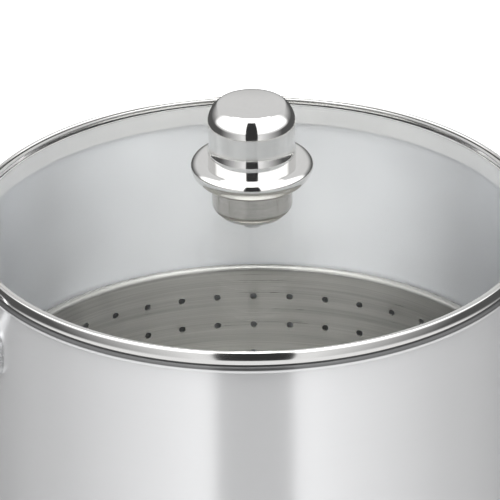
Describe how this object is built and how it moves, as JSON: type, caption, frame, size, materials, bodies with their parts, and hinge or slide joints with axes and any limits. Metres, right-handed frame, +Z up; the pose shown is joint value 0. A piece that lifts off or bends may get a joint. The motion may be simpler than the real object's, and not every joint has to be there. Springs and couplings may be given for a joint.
{
  "type": "water bath canner",
  "caption": "Tall stainless canning pot with a clad base, side loop handles, a perforated lift-out basket with swing bails and a glass lid with a steel rim and knob.",
  "frame": {"origin": "centre of the underside of the clad base, where the pot stands", "axes": "+Z up along the pot's axis, +X towards the right side handle, -Y is the front"},
  "size_m": [0.4216, 0.3316, 0.334],
  "materials": {
    "satin_steel": "satin stainless steel, drawn wall",
    "polished_steel": "mirror-polished stainless steel",
    "basket_steel": "stainless steel brushed round the wall",
    "aluminium_disc": "rolled aluminium",
    "lid_glass": "clear tempered glass",
    "silicone": "translucent white silicone",
    "plated_steel": "bright plated fastener steel"
  },
  "bodies": {
    "pot": {"pot_body": "satin_steel", "base_disc": "aluminium_disc", "base_cap": "satin_steel", "right_handle": "satin_steel", "left_handle": "satin_steel", "right_handle_rivets": "polished_steel", "left_handle_rivets": "polished_steel"},
    "basket": {"basket_wall": "basket_steel", "basket_floor": "basket_steel", "basket_rim_wire": "basket_steel", "basket_feet": "basket_steel", "right_bail_brackets": "basket_steel", "left_bail_brackets": "basket_steel", "bracket_rivets": "basket_steel"},
    "bail_right": {"right_bail": "basket_steel"},
    "bail_left": {"left_bail": "basket_steel"},
    "lid": {"lid_rim_band": "polished_steel", "lid_glass": "lid_glass", "vent_eyelet": "polished_steel", "knob_cap": "polished_steel", "knob_flange": "polished_steel", "knob_base_cup": "polished_steel", "knob_core": "plated_steel", "knob_screw": "plated_steel", "knob_washer": "plated_steel", "knob_upper_gasket": "silicone", "knob_lower_gasket": "silicone"}
  },
  "joints": [
    {"name": "basket_lift", "type": "slide", "parent": "pot", "child": "basket", "axis": [0, 0, 1], "range_m": [0, 0.26]},
    {"name": "lid_lift", "type": "slide", "parent": "basket", "child": "lid", "axis": [0, 0, 1], "range_m": [0, 0.2]},
    {"name": "right_bail_swing", "type": "hinge", "parent": "basket", "child": "bail_right", "pos_m": [0.1436, 0, 0.1419], "axis": [0, 1, 0], "range_deg": [0, 180]},
    {"name": "left_bail_swing", "type": "hinge", "parent": "basket", "child": "bail_left", "pos_m": [-0.1436, 0, 0.1419], "axis": [0, -1, 0], "range_deg": [0, 180]}
  ]
}
